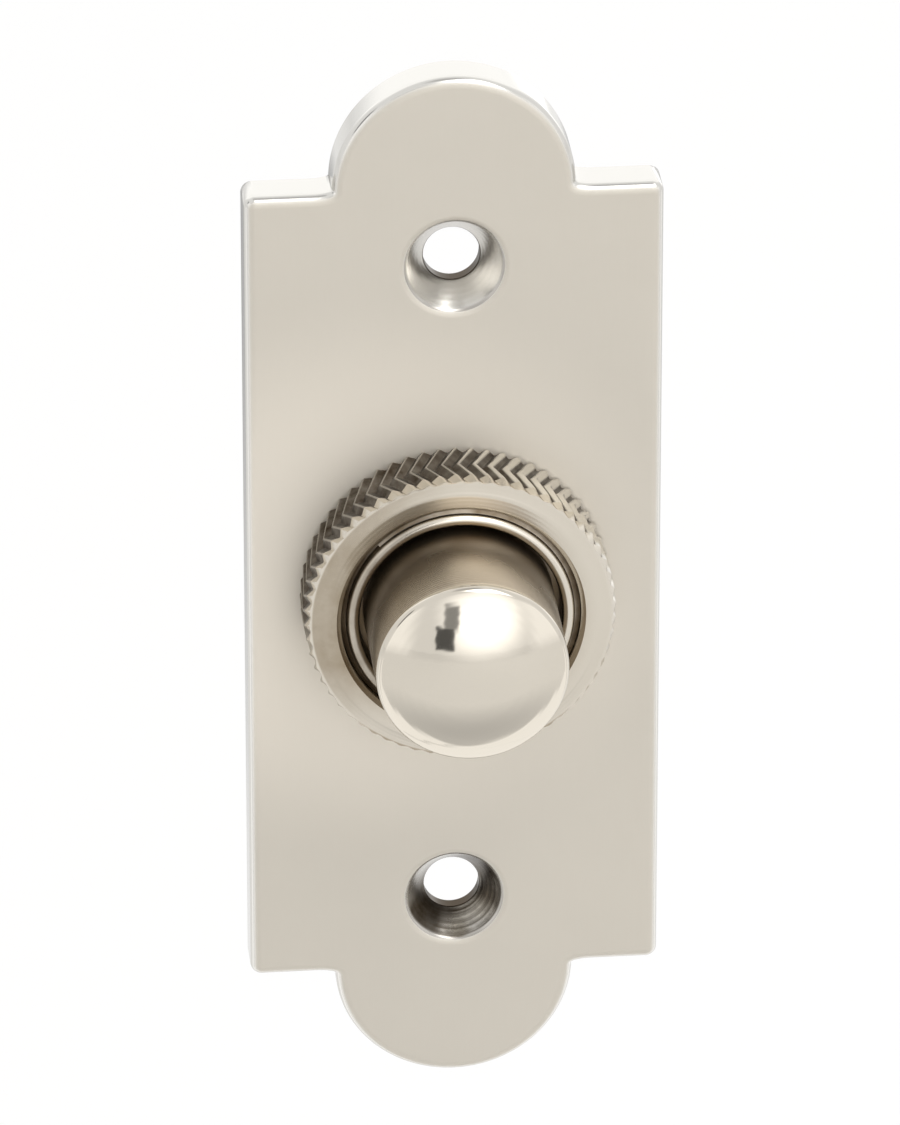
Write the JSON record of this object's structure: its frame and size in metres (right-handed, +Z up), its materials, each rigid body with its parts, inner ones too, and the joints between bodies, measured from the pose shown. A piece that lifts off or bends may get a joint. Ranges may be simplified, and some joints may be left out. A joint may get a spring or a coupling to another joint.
{
  "type": "doorbell push button",
  "caption": "Wall-mounted bell push: an upright polished plate with round lugs, a knurled ring around a long domed plunger button, with contacts and wire terminals behind.",
  "frame": {"origin": "centre of the plate's back face, on the wall, midway between the screw holes", "axes": "+Z up the plate, +Y into the wall, so that the button looks along -Y"},
  "size_m": [0.033, 0.031, 0.0882],
  "materials": {
    "polished_nickel": "polished",
    "turned_brass": "satin",
    "spring_bronze": "satin",
    "contact_silver": "satin",
    "spring_steel": "satin",
    "phenolic": "satin",
    "vulcanised_fibre": "matte"
  },
  "bodies": {
    "housing": {"plate": "polished_nickel", "barrel": "polished_nickel", "knurled_collar": "polished_nickel", "contact_base": "phenolic", "contact_leaf": "spring_bronze", "fixed_contact": "spring_bronze", "contact_rivet": "contact_silver", "terminal_screws": "turned_brass", "terminal_washers": "turned_brass", "terminal_nuts": "turned_brass", "retaining_ring": "spring_steel"},
    "button": {"push_button": "polished_nickel", "button_tip": "vulcanised_fibre"}
  },
  "joints": [
    {"name": "button_press", "type": "slide", "parent": "housing", "child": "button", "axis": [0, 1, 0], "range_m": [0, 0.0025], "stiffness_N_per_m": 600, "springref_m": -0.003, "deforming": ["contact_leaf"]}
  ]
}
